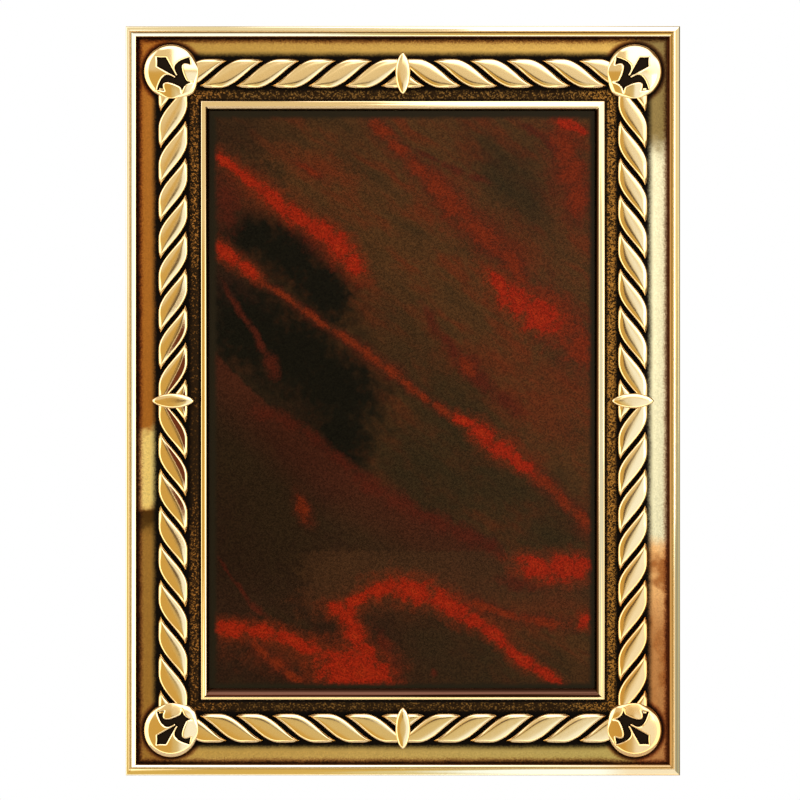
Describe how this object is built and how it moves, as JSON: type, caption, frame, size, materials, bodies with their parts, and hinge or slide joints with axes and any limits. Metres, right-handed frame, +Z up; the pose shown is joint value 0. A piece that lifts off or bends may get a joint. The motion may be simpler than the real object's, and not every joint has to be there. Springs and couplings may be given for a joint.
{
  "type": "wall plaque",
  "caption": "Rectangular cast wall plaque with a rope border, corner bosses and a recessed blank marbled engraving plate, fixed by its flat back.",
  "frame": {"origin": "centre of the flat back, where the plaque meets the wall", "axes": "+Z up along the long side, -Y out of the decorated front, +X to the viewer's right"},
  "size_m": [0.145, 0.0052, 0.196],
  "materials": {
    "frame": "antique, polished on the raised parts with dark patina in the recesses",
    "engraving_plate": "satin marbled lacquer, black and dark red"
  },
  "bodies": {
    "root": {"frame": "frame", "engraving_plate": "engraving_plate"}
  },
  "joints": []
}
